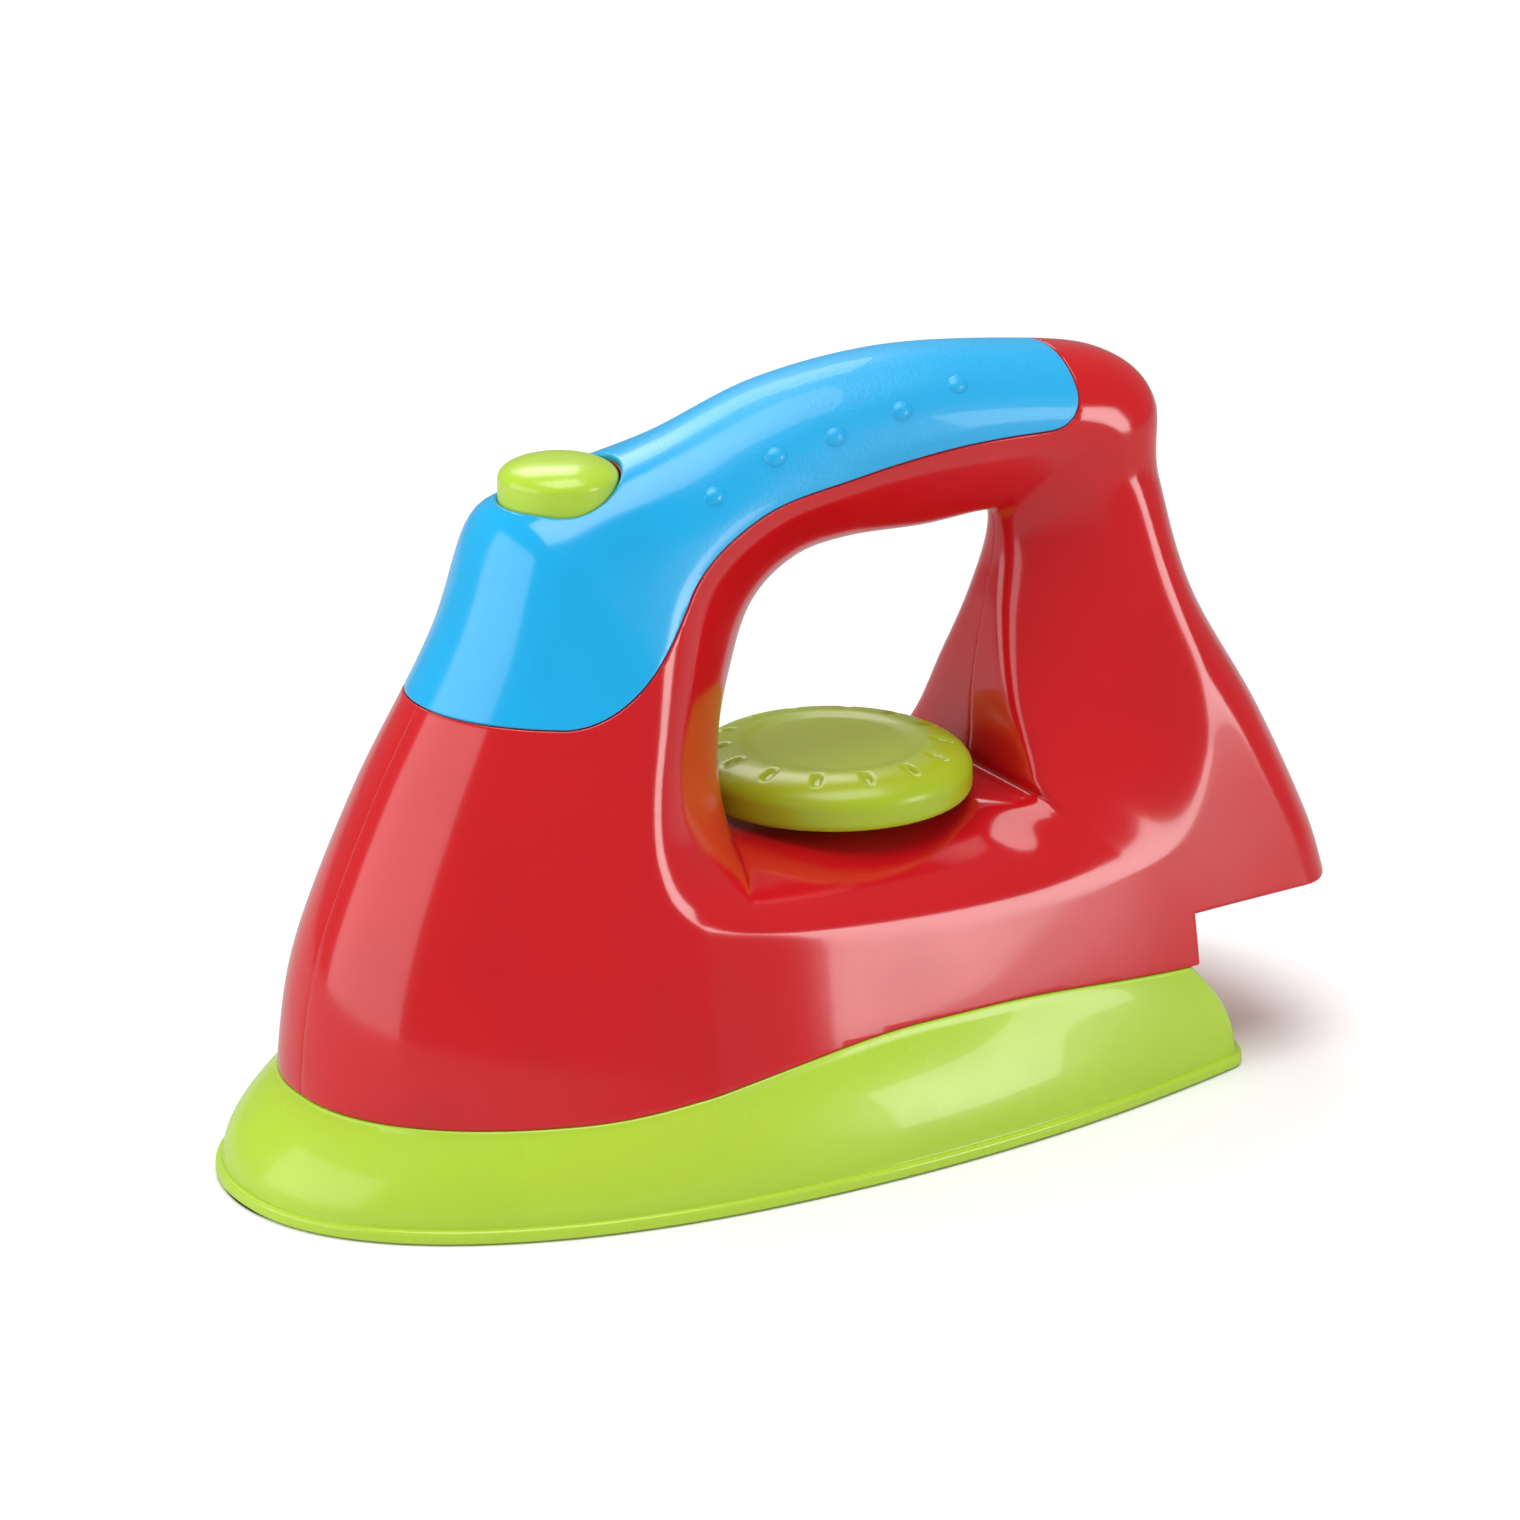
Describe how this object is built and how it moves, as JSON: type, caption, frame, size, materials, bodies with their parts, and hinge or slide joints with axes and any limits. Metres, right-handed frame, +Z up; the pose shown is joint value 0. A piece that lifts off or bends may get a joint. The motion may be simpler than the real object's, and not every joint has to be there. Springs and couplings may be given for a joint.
{
  "type": "toy iron",
  "caption": "Play iron in moulded plastic with a closed handle over a finger window, a sprung steam button and a turning dial that clicks.",
  "frame": {"origin": "middle of the bounding box's underside, on the plane that the sole rests on", "axes": "-X to the nose, +X to the heel, -Y to the iron's left flank, +Z up to the handle"},
  "size_m": [0.1994, 0.092, 0.1255],
  "materials": {
    "red_plastic": "gloss, moulded in colour",
    "blue_plastic": "gloss at the nose, fine matt grain on the grip",
    "lime_plastic": "satin gloss, moulded in colour",
    "white_plastic": "plain, hidden inside",
    "steel": "zinc plated"
  },
  "bodies": {
    "body": {"body_left": "red_plastic", "body_right": "red_plastic", "handle_cover": "blue_plastic", "sole_base": "lime_plastic", "button_guide": "white_plastic", "button_spring": "steel", "click_spring": "steel", "body_screw_1": "steel", "body_screw_2": "steel", "body_screw_3": "steel", "body_screw_4": "steel", "body_screw_5": "steel", "body_screw_6": "steel", "sole_screw_1": "steel", "sole_screw_2": "steel", "sole_screw_3": "steel", "sole_screw_4": "steel"},
    "button": {"spray_button": "lime_plastic"},
    "dial": {"dial_knob": "lime_plastic", "click_wheel": "white_plastic", "dial_washer": "steel", "dial_screw": "steel"}
  },
  "joints": [
    {"name": "button_press", "type": "slide", "parent": "body", "child": "button", "axis": [0, 0, -1], "range_m": [0, 0.0028], "stiffness_N_per_m": 400, "springref_m": -0.002, "deforming": ["button_spring"]},
    {"name": "dial_turn", "type": "hinge", "parent": "body", "child": "dial", "pos_m": [0.01175, 0, 0.05], "axis": [0, 0, 1], "continuous": true}
  ]
}
